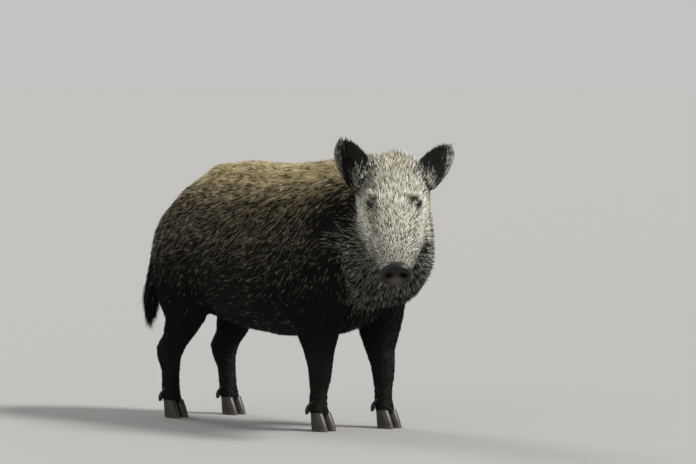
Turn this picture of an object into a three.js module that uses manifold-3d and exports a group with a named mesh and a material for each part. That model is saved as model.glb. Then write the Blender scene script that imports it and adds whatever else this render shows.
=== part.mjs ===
import * as THREE from "three";
import { mergeVertices } from "three/addons/utils/BufferGeometryUtils.js";
import Module from "manifold-3d";

const wasm = await Module();
wasm.setup();

// A young adult wild boar standing still with its head turned to its right. It faces -Y, its left side is +X and the
// floor is Z = 0. Sizes are millimetres and angles degrees, and every outline is that of the tips of the coat.
const gap = 0.3; // between pieces that meet
const withersHeight = 754;
const croupHeight = 738;
const bellyHeight = 244;
const girthHalf = 178; // half the trunk's greatest width
const headTurn = -45.7; // about Z, towards the boar's right
const headDip = 30; // muzzle below the horizontal
const noseTip = new THREE.Vector3(-242, -652, 465); // front end of the head's axis
const discDrop = 13; // from the axis down to the middle of the snout's disc
const eyeMiddle = { x: 60, y: 236, z: 61 }; // middle of the left eyeball in the head's frame
const eyeRadius = 13;
const lidThickness = 2;
const discHalf = 43; // half the width of the snout's disc
const earLength = 146; // with its root
const earHalfWidth = 60; // over the curve
const earThickness = 8;
const earCurl = { root: 46, tip: 84 }; // radius that the ear is rolled to
const earBow = 9; // how far the ear's middle line bows outwards
const foreHome = -255; // where the shoulders sit along Y
const hindHome = 322; // where the hips sit along Y
const hoofHeight = 44;
const clawSpacing = 15.5; // from the middle of the foot to the middle of each claw
const dewclawSpacing = 19;

// Each leg's side and how far along Y its foot stands.
const legs = [
  { name: "fore_right", side: -1, fore: true, foot: -230 },
  { name: "fore_left", side: 1, fore: true, foot: -302 },
  { name: "hind_right", side: -1, fore: false, foot: 352 },
  { name: "hind_left", side: 1, fore: false, foot: 296 },
];

const radians = THREE.MathUtils.degToRad;

function vector(x, y, z) {
  return new THREE.Vector3(x, y, z);
}

// A matrix that dips about X, then turns about Z, then moves to a point.
function placed(point, turn = 0, dip = 0) {
  const turned = new THREE.Matrix4().makeRotationZ(radians(turn));
  const dipped = new THREE.Matrix4().makeRotationX(radians(dip));
  return new THREE.Matrix4().makeTranslation(point).multiply(turned).multiply(dipped);
}

// A three.js primitive with its seams closed, ready to be reshaped.
function welded(geometry) {
  geometry.deleteAttribute("normal");
  geometry.deleteAttribute("uv");
  return mergeVertices(geometry);
}

// A welded geometry as a solid, in the frame given.
function solidOf(geometry, frame = new THREE.Matrix4()) {
  geometry.applyMatrix4(frame);
  return new wasm.Manifold(
    new wasm.Mesh({
      numProp: 3,
      vertProperties: new Float32Array(geometry.getAttribute("position").array),
      triVerts: new Uint32Array(geometry.index.array),
    }),
  );
}

function geometryOf(solid) {
  const mesh = solid.getMesh();
  const geometry = new THREE.BufferGeometry();
  geometry.setAttribute("position", new THREE.BufferAttribute(mesh.vertProperties, 3));
  geometry.setIndex(new THREE.BufferAttribute(mesh.triVerts, 1));
  geometry.computeVertexNormals();
  return geometry;
}

// A closed loft: a cylinder whose rings take the place, half width and reach of the stations in turn. A station
// has a middle (at), a half width, its reach above and below the middle, and may turn and dip. The section is an
// ellipse at square 2 and boxier above that, and pinch narrows it towards the top.
function loft(stations, { around = 24, grow = 0, frame } = {}) {
  const through = (pick) => new THREE.CatmullRomCurve3(stations.map(pick));
  const middles = through((s) => s.at);
  const reaches = through((s) => vector(s.half, s.above, s.below));
  const manners = through((s) => vector(s.square ?? 2, s.pinch ?? 0, 0));
  const bearings = through((s) => vector(s.turn ?? 0, s.dip ?? 0, 0));
  const geometry = welded(new THREE.CylinderGeometry(1, 1, 1, around, stations.length - 1));
  const places = geometry.getAttribute("position");
  for (let i = 0; i < places.count; i++) {
    const share = THREE.MathUtils.clamp(0.5 - places.getY(i), 0, 1);
    const [x, z] = [places.getX(i), places.getZ(i)];
    const reach = reaches.getPoint(share);
    const { x: power, y: pinch } = manners.getPoint(share);
    const { x: turn, y: dip } = bearings.getPoint(share);
    const onRim = Math.hypot(x, z) > 0.5;
    const radius = onRim ? (Math.abs(x) ** power + Math.abs(z) ** power) ** (-1 / power) : 0;
    const across = x * radius * (reach.x + grow) * (1 - pinch * Math.max(0, z) ** 2);
    const upward = z * radius * ((z > 0 ? reach.y : reach.z) + grow);
    const point = vector(across, 0, upward).applyMatrix4(placed(middles.getPoint(share), turn, dip));
    places.setXYZ(i, point.x, point.y, point.z);
  }
  return solidOf(geometry, frame);
}

function ellipsoid(middle, [rx, ry, rz], { turn = 0, dip = 0, parts = 12, frame } = {}) {
  const geometry = welded(new THREE.SphereGeometry(1, parts, Math.round(parts * 0.7)));
  geometry.applyMatrix4(placed(middle, turn, dip).multiply(new THREE.Matrix4().makeScale(rx, ry, rz)));
  return solidOf(geometry, frame);
}

// The half space on the side of a plane that normal points to, as a very large box.
function halfSpace(point, normal) {
  const size = 4000;
  const geometry = welded(new THREE.BoxGeometry(size, size, size));
  geometry.translate(0, 0, size / 2);
  geometry.applyQuaternion(new THREE.Quaternion().setFromUnitVectors(vector(0, 0, 1), normal.clone().normalize()));
  geometry.translate(point.x, point.y, point.z);
  return solidOf(geometry);
}

// Parts a solid with thin flat cuts: what lies in front of every plane, then all the rest.
function parted(solid, planes) {
  const space = (shift) => {
    return planes
      .map(({ point, normal }) => [point.clone().addScaledVector(normal.clone().normalize(), shift), normal])
      .map(([point, normal]) => halfSpace(point, normal))
      .reduce((common, half) => common.intersect(half));
  };
  return [solid.intersect(space(gap / 2)), solid.subtract(space(-gap / 2))];
}

// The head's own frame has its origin at the front end of the head's axis: x to the boar's left, y back, z up.
const headFrame = placed(noseTip, headTurn, headDip);

function inHead(x, y, z) {
  return vector(x, y, z).applyMatrix4(headFrame);
}

function headDirection(x, y, z) {
  return vector(x, y, z).transformDirection(headFrame);
}

// A station from the heights of its top, its widest level and its bottom.
function levels({ x = 0, y, top, widest, bottom, ...rest }) {
  return { ...rest, at: vector(x, y, widest), above: top - widest, below: widest - bottom };
}

// From the buttocks to the breast.
const trunkStations = [
  { y: 458, top: 500, widest: 468, bottom: 430, half: 26 },
  { y: 448, top: 548, widest: 464, bottom: 376, half: 70 },
  { y: 412, top: 606, widest: 460, bottom: 330, half: 112 },
  { y: 335, top: 668, widest: 460, bottom: 302, half: 142 },
  { y: 230, top: 726, widest: 460, bottom: 286, half: 155 },
  { y: 105, top: croupHeight, widest: 455, bottom: 256, half: 168 },
  { y: -30, top: 732, widest: 452, bottom: bellyHeight, half: girthHalf },
  { y: -140, top: 742, widest: 464, bottom: 248, half: 176 },
  { y: -230, top: withersHeight, widest: 478, bottom: 260, half: 164 },
  { y: -310, top: 758, widest: 488, bottom: 290, half: 142 },
  { y: -375, top: 700, widest: 490, bottom: 335, half: 108 },
  { y: -410, top: 600, widest: 490, bottom: 400, half: 56 },
].map((station) => levels({ ...station, square: 2.15, pinch: 0.16 }));

// The neck bends from the trunk's line to the head's.
const neckStations = [
  { x: 0, y: -215, top: 740, widest: 480, bottom: 300, half: 140, turn: -4 },
  { x: -2, y: -290, top: 762, widest: 478, bottom: 318, half: 143, turn: -12 },
  { x: -8, y: -355, top: 767, widest: 478, bottom: 334, half: 135, turn: -24 },
  { x: -16, y: -412, top: 766, widest: 480, bottom: 348, half: 119, turn: -36 },
  { x: -38, y: -462, top: 744, widest: 505, bottom: 388, half: 108, turn: -44 },
  { x: -68, y: -505, top: 680, widest: 540, bottom: 445, half: 80, turn: -46 },
].map((station) => levels({ ...station, square: 2.4, pinch: 0.16 }));

// From the nape to the disc along the upper head, in the head's frame.
const faceStations = [
  { y: 440, top: 84, widest: 20, bottom: -50, half: 60 },
  { y: 415, top: 116, widest: 16, bottom: -80, half: 88 },
  { y: 370, top: 146, widest: 12, bottom: -98, half: 104 },
  { y: 325, top: 139, widest: 8, bottom: -106, half: 104 },
  { y: 275, top: 118, widest: 4, bottom: -100, half: 97 },
  { y: 228, top: 93, widest: 0, bottom: -86, half: 86 },
  { y: 180, top: 71, widest: -8, bottom: -70, half: 78 },
  { y: 130, top: 54, widest: -13, bottom: -61, half: 66 },
  { y: 80, top: 38, widest: -15, bottom: -54, half: 52 },
  { y: 34, top: 26, widest: -15, bottom: -47, half: 41 },
  { y: 8, top: 20, widest: -discDrop, bottom: -42, half: 37 },
].map((station) => levels({ ...station, square: 2.3, pinch: 0.06 }));

// From the jowls to the chin, in the head's frame.
const jawStations = [
  { y: 390, top: 50, widest: -30, bottom: -96, half: 84 },
  { y: 330, top: 66, widest: -42, bottom: -124, half: 105 },
  { y: 270, top: 56, widest: -48, bottom: -130, half: 100 },
  { y: 208, top: 34, widest: -46, bottom: -116, half: 81 },
  { y: 150, top: 6, widest: -45, bottom: -99, half: 66 },
  { y: 92, top: -10, widest: -46, bottom: -86, half: 49 },
  { y: 46, top: -26, widest: -50, bottom: -75, half: 34 },
  { y: 24, top: -40, widest: -52, bottom: -63, half: 16 },
].map((station) => levels({ ...station, square: 2.2 }));

function brow(side) {
  const middle = vector(side * 50, 255, 80);
  return ellipsoid(middle, [22, 36, 12], { turn: side * 12, dip: -24, parts: 12, frame: headFrame });
}

// Trunk, neck and head in one, grown outwards evenly by a little.
function body(grow = 0) {
  const face = loft(faceStations, { around: 24, grow, frame: headFrame });
  const jaws = loft(jawStations, { around: 20, grow, frame: headFrame });
  const neck = loft(neckStations, { around: 26, grow });
  return loft(trunkStations, { around: 28, grow }).add(neck).add(face).add(jaws).add(brow(-1)).add(brow(1));
}

// An eye socket as wide as the eyeball, opening forwards and out between the lids.
function socket(side) {
  const radius = eyeRadius + gap;
  const middle = vector(side * eyeMiddle.x, eyeMiddle.y, eyeMiddle.z);
  const lids = middle.clone().add(vector(side * 8, -10, 0));
  const slit = [radius + 8, radius - 1, radius - lidThickness];
  const opening = ellipsoid(lids, slit, { turn: side * 45, parts: 10, frame: headFrame });
  return ellipsoid(middle, [radius, radius, radius], { frame: headFrame }).add(opening);
}

function eyeball(side) {
  const middle = vector(side * eyeMiddle.x, eyeMiddle.y, eyeMiddle.z);
  return ellipsoid(middle, [eyeRadius, eyeRadius, eyeRadius], { frame: headFrame });
}

// The gristle disc at the end of the snout, with its two nostrils.
function snoutDisc() {
  const rim = [
    { y: 8 - gap, half: discHalf - 4, above: 35, below: 30 },
    { y: 3, half: discHalf, above: 38, below: 33 },
    { y: -4, half: discHalf, above: 38, below: 33 },
    { y: -9, half: discHalf - 6, above: 32, below: 27 },
  ].map(({ y, ...reach }) => ({ ...reach, at: vector(0, y, -discDrop), square: 2.4 }));
  const nostrils = [-1, 1].map((side) => {
    return ellipsoid(vector(side * 18, -8, 1 - discDrop), [7, 11, 9], { turn: side * 14, parts: 8, frame: headFrame });
  });
  return nostrils.reduce((disc, nostril) => disc.subtract(nostril), loft(rim, { around: 24, frame: headFrame }));
}

// A leaf-shaped shell rolled tighter at its root, its hollow to the front, then tipped back, leant and placed in
// the head's frame.
function ear(side, root, { lean, back, twist }) {
  const geometry = welded(new THREE.BoxGeometry(2, 1, 1, 10, 9, 1));
  const places = geometry.getAttribute("position");
  for (let i = 0; i < places.count; i++) {
    const share = THREE.MathUtils.clamp(places.getY(i) + 0.5, 0, 1) ** 0.8;
    const half = Math.max(earThickness / 2, earHalfWidth * (1 - share ** 3.4) ** 0.7);
    const roll = THREE.MathUtils.lerp(earCurl.root, earCurl.tip, share);
    const angle = (places.getX(i) * half) / roll;
    const thickness = earThickness * (1 - 0.5 * Math.abs(places.getX(i)) ** 3) * (1 - 0.4 * share);
    const radius = roll + places.getZ(i) * thickness;
    const bow = side * earBow * Math.sin(Math.PI * share);
    places.setXYZ(i, radius * Math.sin(angle) + bow, roll - radius * Math.cos(angle), share * earLength);
  }
  const moved = new THREE.Matrix4().makeTranslation(root);
  const leant = new THREE.Matrix4().makeRotationY(radians(lean));
  const tipped = new THREE.Matrix4().makeRotationX(radians(-back));
  const twisted = new THREE.Matrix4().makeRotationZ(radians(twist));
  return solidOf(geometry, headFrame.clone().multiply(moved).multiply(leant).multiply(tipped).multiply(twisted));
}

// Down each leg: level, place (y counted from the foot), half width, and reach to the front and back.
const forelegStations = [
  { z: 625, x: 62, y: 22, half: 34, front: 50, back: 50 },
  { z: 555, x: 97, y: 18, half: 50, front: 86, back: 82 },
  { z: 470, x: 118, y: 8, half: 58, front: 104, back: 94 },
  { z: 385, x: 120, y: 4, half: 57, front: 103, back: 88 },
  { z: 315, x: 115, y: 6, half: 55, front: 87, back: 76 },
  { z: 262, x: 108, y: 8, half: 50, front: 68, back: 62 },
  { z: 215, x: 100, y: 5, half: 40, front: 47, back: 46 },
  { z: 172, x: 97, y: 0, half: 34, front: 38, back: 36 },
  { z: 140, x: 95, y: 0, half: 31, front: 34, back: 33 },
  { z: 108, x: 94, y: 2, half: 26, front: 26, back: 28 },
  { z: 76, x: 94, y: 4, half: 26, front: 25, back: 28 },
  { z: 56, x: 94, y: 0, half: 29, front: 25, back: 27 },
  { z: hoofHeight, x: 94, y: -4, half: 30, front: 24, back: 22 },
];
const hindlegStations = [
  { z: 625, x: 48, y: -52, half: 34, front: 66, back: 66 },
  { z: 555, x: 78, y: -48, half: 52, front: 104, back: 98 },
  { z: 470, x: 93, y: -42, half: 64, front: 124, back: 126 },
  { z: 395, x: 98, y: -40, half: 64, front: 122, back: 122 },
  { z: 335, x: 98, y: -38, half: 58, front: 104, back: 97 },
  { z: 285, x: 95, y: -36, half: 48, front: 78, back: 64 },
  { z: 240, x: 92, y: -20, half: 40, front: 56, back: 54 },
  { z: 200, x: 90, y: 6, half: 34, front: 44, back: 58 },
  { z: 168, x: 89, y: 12, half: 31, front: 34, back: 46 },
  { z: 130, x: 88, y: 8, half: 27, front: 27, back: 29 },
  { z: 88, x: 88, y: 6, half: 26, front: 26, back: 28 },
  { z: 58, x: 88, y: 1, half: 29, front: 25, back: 27 },
  { z: hoofHeight, x: 88, y: -4, half: 30, front: 24, back: 22 },
];

// The body's end of a leg keeps its place while the foot steps.
function legSolid({ side, fore, foot }, grow = 0) {
  const stations = (fore ? forelegStations : hindlegStations).map(({ z, x, y, half, front, back }) => {
    const settled = THREE.MathUtils.smoothstep(z, 60, 420);
    const middle = THREE.MathUtils.lerp(foot, fore ? foreHome : hindHome, settled);
    return { at: vector(side * x, middle + y, z), half, above: front, below: back, dip: 90, square: 2.1 };
  });
  return loft(stations, { around: 16, grow });
}

// The middle of a leg's foot, across and along.
function footOf({ side, fore, foot }) {
  const lowest = (fore ? forelegStations : hindlegStations).at(-1);
  return { x: side * lowest.x, y: foot };
}

// One claw of the cloven hoof, flat on the floor and a little splayed.
function claw({ x, y }, side) {
  const stations = [
    { z: hoofHeight - gap, y: -4, half: 13, front: 20, back: 18 },
    { z: 24, y: -9, half: 14.5, front: 28, back: 21 },
    { z: 0, y: -14, half: 14, front: 33, back: 24 },
  ].map(({ z, y: along, half, front, back }) => {
    const at = vector(x + side * clawSpacing, y + along, z);
    return { at, half, above: front, below: back, dip: 90, turn: side * 2, square: 2.3 };
  });
  return loft(stations, { around: 12 });
}

// One of the two small claws behind the pastern.
function dewclaw({ x, y }, side) {
  const stations = [
    { z: 84, y: 14, radius: 7 },
    { z: 70, y: 22, radius: 9 },
    { z: 56, y: 27, radius: 8 },
    { z: 44, y: 30, radius: 4 },
  ].map(({ z, y: along, radius }) => {
    const at = vector(x + side * dewclawSpacing, y + along, z);
    return { at, half: radius, above: radius, below: radius, dip: 90 };
  });
  return loft(stations, { around: 8 });
}

// It leaves the rump and hangs, a little to the boar's right, to a tuft.
const tailStations = [
  { x: 0, y: 420, z: 566, radius: 22 },
  { x: -3, y: 450, z: 548, radius: 20 },
  { x: -10, y: 471, z: 515, radius: 17 },
  { x: -24, y: 480, z: 462, radius: 15 },
  { x: -34, y: 482, z: 400, radius: 17 },
  { x: -42, y: 481, z: 342, radius: 21 },
  { x: -47, y: 479, z: 296, radius: 15 },
  { x: -49, y: 478, z: 270, radius: 4 },
].map(({ x, y, z, radius }) => ({ at: vector(x, y, z), half: radius, above: radius, below: radius, dip: 90 }));

const boar = new THREE.Group();
const coat = new THREE.MeshStandardMaterial({ color: 0x54493a, roughness: 0.9, metalness: 0 });
const darkCoat = new THREE.MeshStandardMaterial({ color: 0x2a2622, roughness: 0.9, metalness: 0 });
const bareSkin = new THREE.MeshStandardMaterial({ color: 0x2e2a29, roughness: 0.5, metalness: 0 });
const horn = new THREE.MeshStandardMaterial({ color: 0x26221e, roughness: 0.5, metalness: 0 });
const cornea = new THREE.MeshStandardMaterial({ color: 0x1c110b, roughness: 0.1, metalness: 0 });

function add(name, solid, material) {
  const mesh = new THREE.Mesh(geometryOf(solid), material);
  mesh.name = name;
  boar.add(mesh);
}

// The planes that part the body, each facing forwards or down. The lower jaw lies below the mouth and in front of
// its corner.
const shoulders = { point: vector(0, -318, 520), normal: vector(-0.25, -0.92, 0.3) };
const nape = { point: inHead(0, 365, 40), normal: headDirection(0, -1, 0.35) };
const mouth = { point: inHead(0, 20, -45), normal: headDirection(0, -0.14, -1) };
const corner = { point: inHead(0, 150, -60), normal: headDirection(0, -1, 0.25) };

const grown = body(gap);
const carcass = legs.reduce((rest, leg) => rest.subtract(legSolid(leg, gap)), body());
const [front, trunk] = parted(carcass, [shoulders]);
const [head, neck] = parted(front, [nape]);
const [jaw, face] = parted(head, [mouth, corner]);

add("trunk", trunk, coat);
add("neck", neck, coat);
add("head", face.subtract(socket(-1)).subtract(socket(1)), coat);
add("lower_jaw", jaw, coat);
add("snout_disc", snoutDisc(), bareSkin);
add("eye_left", eyeball(1), cornea);
add("eye_right", eyeball(-1), cornea);
add("ear_left", ear(1, vector(73, 307, 61), { lean: 42, back: 30, twist: 15 }).subtract(grown), darkCoat);
add("ear_right", ear(-1, vector(-80, 307, 65), { lean: -31, back: 30, twist: -15 }).subtract(grown), darkCoat);
add("tail", loft(tailStations, { around: 10 }).subtract(grown), darkCoat);
for (const leg of legs) {
  const foot = footOf(leg);
  add(`${leg.name}_leg`, legSolid(leg), darkCoat);
  for (const [place, side] of [["outer", leg.side], ["inner", -leg.side]]) {
    add(`${leg.name}_${place}_claw`, claw(foot, side), horn);
    add(`${leg.name}_${place}_dewclaw`, dewclaw(foot, side).subtract(legSolid(leg, gap)), horn);
  }
}

// The boar stands on the floor with the middle of its box over the origin.
const box = new THREE.Box3().setFromObject(boar);
const middle = box.getCenter(vector(0, 0, 0));
for (const mesh of boar.children) {
  mesh.geometry.translate(-middle.x, -middle.y, -box.min.z);
}

export default boar;
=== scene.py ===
import math

import bmesh
import bpy
import numpy as np
from mathutils import Matrix, Vector, noise
from mathutils.bvhtree import BVHTree
from mathutils.kdtree import KDTree


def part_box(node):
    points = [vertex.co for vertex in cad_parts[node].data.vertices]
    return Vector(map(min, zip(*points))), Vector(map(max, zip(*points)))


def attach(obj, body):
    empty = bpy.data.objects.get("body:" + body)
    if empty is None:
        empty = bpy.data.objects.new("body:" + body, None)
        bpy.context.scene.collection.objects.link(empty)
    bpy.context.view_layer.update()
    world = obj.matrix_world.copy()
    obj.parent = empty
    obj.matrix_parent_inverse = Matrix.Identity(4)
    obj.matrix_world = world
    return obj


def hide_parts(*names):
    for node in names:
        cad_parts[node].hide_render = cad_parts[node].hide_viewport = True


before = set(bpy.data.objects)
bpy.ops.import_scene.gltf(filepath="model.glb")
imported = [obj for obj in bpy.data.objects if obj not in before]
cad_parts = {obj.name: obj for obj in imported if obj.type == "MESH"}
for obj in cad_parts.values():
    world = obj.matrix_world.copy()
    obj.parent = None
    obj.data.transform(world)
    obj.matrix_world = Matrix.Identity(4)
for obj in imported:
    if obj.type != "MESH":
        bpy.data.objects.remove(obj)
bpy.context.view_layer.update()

draws = np.random.default_rng(11)  # every random choice below comes from here


def linear(colour):  # an sRGB hex colour as linear red, green, blue, alpha
    parts = [int(colour[i : i + 2], 16) / 255 for i in (1, 3, 5)]
    return [c / 12.92 if c <= 0.04045 else ((c + 0.055) / 1.055) ** 2.4 for c in parts] + [1.0]


def addNode(tree, kind, settings=None, inputs=None, output=0):
    # An input takes a value, or a socket to link from. The output that is asked for comes back.
    node = tree.nodes.new("ShaderNode" + kind)
    for name, value in (settings or {}).items():
        setattr(node, name, value)
    for name, value in (inputs or {}).items():
        if isinstance(value, bpy.types.NodeSocket):
            tree.links.new(value, node.inputs[name])
        else:
            node.inputs[name].default_value = value
    return node.outputs[output] if len(node.outputs) else None


colourMix = {"data_type": "RGBA"}  # a Mix node's colours then go in at 6 and 7, and come out at 2
smoothStep = {"interpolation_type": "SMOOTHSTEP"}


def newMaterial(name):
    material = bpy.data.materials.new(name)
    material.use_nodes = True
    material.node_tree.nodes.clear()
    return material, material.node_tree


def newObject(name, mesh, material):
    piece = bpy.data.objects.new(name, mesh)
    bpy.context.scene.collection.objects.link(piece)
    if material:
        mesh.materials.append(material)
    return piece


def positions(mesh):
    points = np.empty(len(mesh.vertices) * 3)
    mesh.vertices.foreach_get("co", points)
    return points.reshape(-1, 3)


def normals(mesh):
    outward = np.empty(len(mesh.vertices) * 3, np.float32)
    mesh.vertex_normals.foreach_get("vector", outward)
    return outward.reshape(-1, 3).astype(float)


def movePoints(mesh, points):
    mesh.vertices.foreach_set("co", points.astype(np.float32).ravel())
    mesh.update()


def keep(mesh, name, values):  # one number for each vertex, for the materials to read
    attribute = mesh.attributes.new(name, "FLOAT", "POINT")
    attribute.data.foreach_set("value", values.astype(np.float32))


def evaluated(piece):  # the mesh that the modifiers give
    bpy.context.view_layer.update()
    return bpy.data.meshes.new_from_object(piece.evaluated_get(bpy.context.evaluated_depsgraph_get()))


def unit(vectors):
    return vectors / np.maximum(np.linalg.norm(vectors, axis=1, keepdims=True), 1e-9)


def distances(points, middle):
    return np.linalg.norm(points - middle, axis=1)


def ramp(values, start, end):  # smoothly from 0 at start to 1 at end
    share = np.clip((values - start) / (end - start), 0, 1)
    return share * share * (3 - 2 * share)


def bump(values, middle, reach):  # 1 at the middle, fading to nothing by about twice the reach
    return np.exp(-(((values - middle) / reach) ** 2))


def blend(share, start, end):
    return start + (end - start) * share


headPlace = {
    "turn": -45.7,  # degrees about Z, towards the boar's right
    "dip": 30,  # degrees that the muzzle drops
    "betweenEyes": (0, 0.236, 0.061),
}
# The head's own axes: x to the boar's left, y back and z up, from the front end of the head's axis.
headAxes = np.array(
    Matrix.Rotation(math.radians(headPlace["turn"]), 3, "Z")
    @ Matrix.Rotation(math.radians(headPlace["dip"]), 3, "X")
)
eyeMiddles = {side: np.array(sum(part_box("eye_" + side), Vector()) / 2) for side in ("left", "right")}
headOrigin = sum(eyeMiddles.values()) / 2 - headAxes @ np.array(headPlace["betweenEyes"])


def toHead(points):
    return (points - headOrigin) @ headAxes


def fromHead(points):
    return points @ headAxes.T + headOrigin


eyes = {
    "radius": 0.013,
    "out": (0.62, -0.72, 0.30),  # the left eye's look, in the head's axes
    "outerCorner": (0.72, 0.66, 0.22),
    "halfSlit": 0.0102,  # over the ball
    "upperOpening": 0.0056, "lowerOpening": 0.0045,
    "slitPowers": (2.2, 0.7),  # how the opening rounds off towards its corners
    "lid": 0.0019,
    "bareRim": 0.0006,  # the edge of the lids where nothing grows
    "reach": 0.045,  # past this from the ball's middle, nothing is near the opening
}

# The flesh is joined from copies of the CAD solids. A mound closes each socket, for the lids.
legNames = ["fore_left", "fore_right", "hind_left", "hind_right"]
fleshNames = ["trunk", "neck", "head", "lower_jaw", "snout_disc", "ear_left", "ear_right", "tail"]
fleshNames += [leg + "_leg" for leg in legNames]
flesh = {
    "merge": 1e-5,
    "overlap": 0.0008,  # each solid grows by this, so that the thin cuts between them close
    "mound": (28, 18),  # segments and rings
    "voxel": 0.0036,
    "smoothing": 12, "softening": 3,
    "share": 0.26,  # of the remeshed triangles that stay
}


def joinedFlesh():
    whole = bmesh.new()
    owners = []
    for number, name in enumerate(fleshNames):
        part = bmesh.new()
        part.from_mesh(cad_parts[name].data)
        bmesh.ops.remove_doubles(part, verts=part.verts, dist=flesh["merge"])
        part.normal_update()
        for vertex in part.verts:
            vertex.co += vertex.normal * flesh["overlap"]
        mesh = bpy.data.meshes.new(name + "_copy")
        part.to_mesh(mesh)
        whole.from_mesh(mesh)
        owners += [number] * len(part.faces)
        part.free()
        bpy.data.meshes.remove(mesh)
    for middle in eyeMiddles.values():
        before = len(whole.faces)
        bmesh.ops.create_uvsphere(
            whole, u_segments=flesh["mound"][0], v_segments=flesh["mound"][1],
            radius=eyes["radius"] + eyes["lid"], matrix=Matrix.Translation(middle),
        )
        owners += [fleshNames.index("head")] * (len(whole.faces) - before)
    mesh = bpy.data.meshes.new("flesh")
    whole.to_mesh(mesh)
    surface = BVHTree.FromBMesh(whole)
    whole.free()
    return mesh, surface, np.array(owners)


fleshMesh, fleshSurface, fleshOwners = joinedFlesh()


def nearestNode(points):  # the number of the CAD solid whose surface is nearest
    faces = [fleshSurface.find_nearest(point)[2] for point in points.tolist()]
    return fleshOwners[faces]


def ownerOf(owner, *names):
    return np.isin(owner, [fleshNames.index(name) for name in names])


def remeshedFlesh():
    whole = newObject("flesh", fleshMesh, None)
    remesh = whole.modifiers.new("remesh", "REMESH")
    remesh.mode = "VOXEL"
    remesh.voxel_size = flesh["voxel"]
    whole.data = evaluated(whole)
    whole.modifiers.clear()
    owner = nearestNode(positions(whole.data))
    fine = ownerOf(owner, "head", "lower_jaw", "snout_disc", "ear_left", "ear_right")
    thinEdged = ownerOf(owner, "ear_left", "ear_right", "tail")
    for name, chosen in (("fine", fine), ("broad", ~fine & ~thinEdged), ("firm", ~thinEdged)):
        whole.vertex_groups.new(name=name).add(np.flatnonzero(chosen).tolist(), 1, "REPLACE")
    for rounds, group in (("smoothing", "broad"), ("softening", "firm")):
        smooth = whole.modifiers.new(rounds, "SMOOTH")
        smooth.factor = 0.5
        smooth.iterations = flesh[rounds]
        smooth.vertex_group = group
    thin = whole.modifiers.new("thin", "DECIMATE")
    thin.ratio = flesh["share"]
    thin.vertex_group = "fine"
    thin.invert_vertex_group = True
    mesh = evaluated(whole)
    print("flesh: remeshed", len(whole.data.polygons), "thinned", len(mesh.polygons))
    bpy.data.objects.remove(whole)
    mesh.name = "skin"
    return mesh


skinMesh = remeshedFlesh()

nose = {
    "plate": -0.0092,  # the front of the disc, along the head
    "dish": 0.0022,
    "halfWidth": 0.040, "halfHeight": 0.033,
    "edge": (1.0, 0.82),  # where the plate takes over from the disc's side, as shares of those
    "behind": 0.012,  # how far back the plate's points go
    "refined": (0.046, 0.038),
    "nostril": (0.0190, 0.0020),  # across and up from the disc's middle
    "nostrilHalf": (0.0102, 0.0086),
    "nostrilSlant": 20,  # degrees
    "nostrilDepth": 0.015, "nostrilWall": (1.15, 0.45),
    "nostrilRim": 0.0018, "nostrilRimAt": (1.4, 0.28),
    "groove": 0.0014, "grooveWidth": 0.0022, "grooveTop": (0.012, 0.0),
    "underLip": 0.0024, "underLipAt": (-0.019, 0.008), "underLipWidth": 0.014,
    "rim": 0.0030, "rimAt": (0.96, 0.09), "rimFrom": (-0.016, 0.004),
    # A painted highlight: the disc's lower middle is painted paler, as if lit from above; its width and place
    # follow.
    "paintedHighlightWidth": 0.016, "paintedHighlightAt": (-0.015, 0.013),
}
mouth = {
    "at": (0.020, -0.045), "slope": -0.14,
    "corner": 0.158, "cornerFade": (0.01, -0.015), "frontFade": (-0.012, 0.0),
    "depth": 0.0042, "width": 0.0021,
    "upperLip": 0.0016, "upperLipAt": (-0.0065, 0.004),
    "lowerLip": 0.0012, "lowerLipAt": (0.007, 0.004),
    "bareWidth": 0.0026,
    "refinedHeight": 0.012, "refinedAlong": (-0.01, 0.17), "refinedHalfWidth": 0.08,
}
discMiddle = toHead(positions(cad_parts["snout_disc"].data)).mean(0)


def eyeAxes(side):  # towards the outer corner, up, and out of the eye
    mirror = np.array([1 if side == "left" else -1, 1, 1])
    out = np.array(eyes["out"]) * mirror
    out = out / np.linalg.norm(out)
    across = np.array(eyes["outerCorner"]) * mirror
    across = across - out * (across @ out)
    across = across / np.linalg.norm(across)
    up = np.cross(out, across) * mirror[0]
    return headAxes @ across, headAxes @ up, headAxes @ out


def overEye(points, side):
    # How far from the ball's middle and beyond the opening's edge, how squarely out, and where over the ball.
    across, up, out = eyeAxes(side)
    away = points - eyeMiddles[side]
    reach = np.maximum(np.linalg.norm(away, axis=1), 1e-6)
    x = eyes["radius"] * np.arctan2(away @ across, np.maximum(away @ out, 1e-6))
    y = eyes["radius"] * np.arctan2(away @ up, np.maximum(away @ out, 1e-6))
    opening = np.where(y > 0, eyes["upperOpening"], eyes["lowerOpening"])
    power, rounding = eyes["slitPowers"]
    inSlit = np.clip(1 - np.abs(x / eyes["halfSlit"]) ** power, 0, 1)
    pastCorner = np.hypot(np.abs(x) - eyes["halfSlit"], y)
    beyond = np.where(inSlit > 0, np.abs(y) - opening * inSlit**rounding, pastCorner)
    facing = away @ out / reach
    beyond = np.where((facing > 0) & (reach < eyes["reach"]), beyond, 1.0)
    return reach, beyond, facing, x, y


def mouthLine(hy, hz):  # how far below the line of the mouth
    return mouth["slope"] * (hy - mouth["at"][0]) - (hz - mouth["at"][1])


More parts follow.
